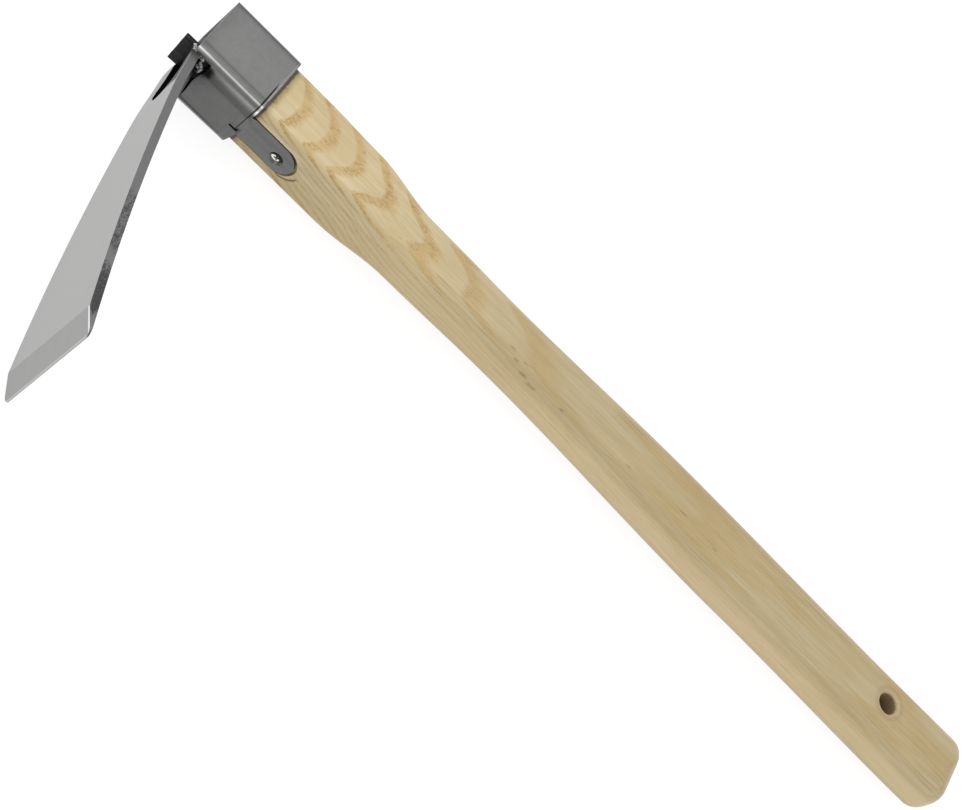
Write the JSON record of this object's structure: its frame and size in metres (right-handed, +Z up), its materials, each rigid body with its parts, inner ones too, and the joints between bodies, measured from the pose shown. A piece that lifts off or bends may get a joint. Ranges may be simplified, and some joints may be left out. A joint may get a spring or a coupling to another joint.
{
  "type": "garden hoe",
  "caption": "Hand hoe for digging and weeding: a tapering steel blade welded to a bent sheet socket, wedged and screwed onto a flat wooden handle with a hang hole.",
  "frame": {"origin": "centre of the bounding box at the surface that the tool lies on, on its side", "axes": "+X along the handle from the socket to the butt, -Y the side that the blade reaches out to, +Z up"},
  "size_m": [0.461, 0.1876, 0.0726],
  "materials": {
    "ash_wood": "sanded and clear lacquered, satin, with cathedral grain on the head",
    "stainless_steel": "rolled sheet, satin, with fine bending and brushing marks",
    "blade_steel": "evenly brushed plate with a ground bevel and sheared, darker edges",
    "black_steel": "black oxide, hammered at the head",
    "nickel_plate": "bright plated",
    "weld_metal": "rippled weld bead, darkened by heat"
  },
  "bodies": {
    "root": {"handle": "ash_wood", "socket": "stainless_steel", "blade": "blade_steel", "wedge": "black_steel", "tongue_screw": "nickel_plate", "weld_left": "weld_metal", "weld_right": "weld_metal"}
  },
  "joints": []
}
